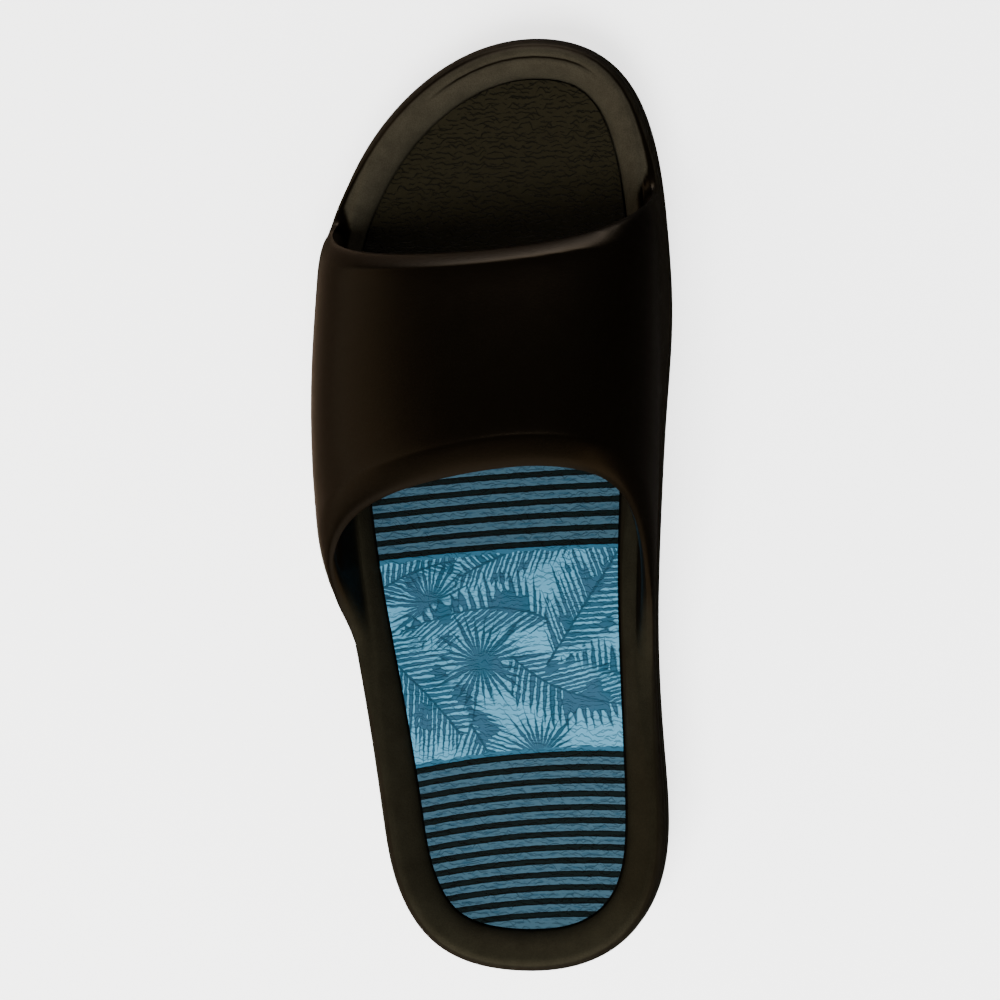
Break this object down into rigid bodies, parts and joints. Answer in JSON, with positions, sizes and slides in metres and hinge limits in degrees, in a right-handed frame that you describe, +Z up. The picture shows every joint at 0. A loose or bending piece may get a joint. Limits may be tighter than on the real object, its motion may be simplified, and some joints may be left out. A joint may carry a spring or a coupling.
{
  "type": "slip-on sandal",
  "caption": "Left slip-on sandal moulded whole in black foam rubber, open at toe and heel, with a wide strap over the foot and an insole printed with blue stripes and palm fronds.",
  "frame": {"origin": "middle of the sandal's bounding box, on the level that it stands on", "axes": "+Y towards the toe, +X towards the big-toe side, +Z up"},
  "size_m": [0.1084, 0.2854, 0.081],
  "materials": {
    "foam_rubber": "satin, fine moulded grain",
    "printed_sheet": "matt, crinkled emboss, printed"
  },
  "bodies": {
    "root": {"upper_and_sole": "foam_rubber", "insole": "printed_sheet"}
  },
  "joints": []
}
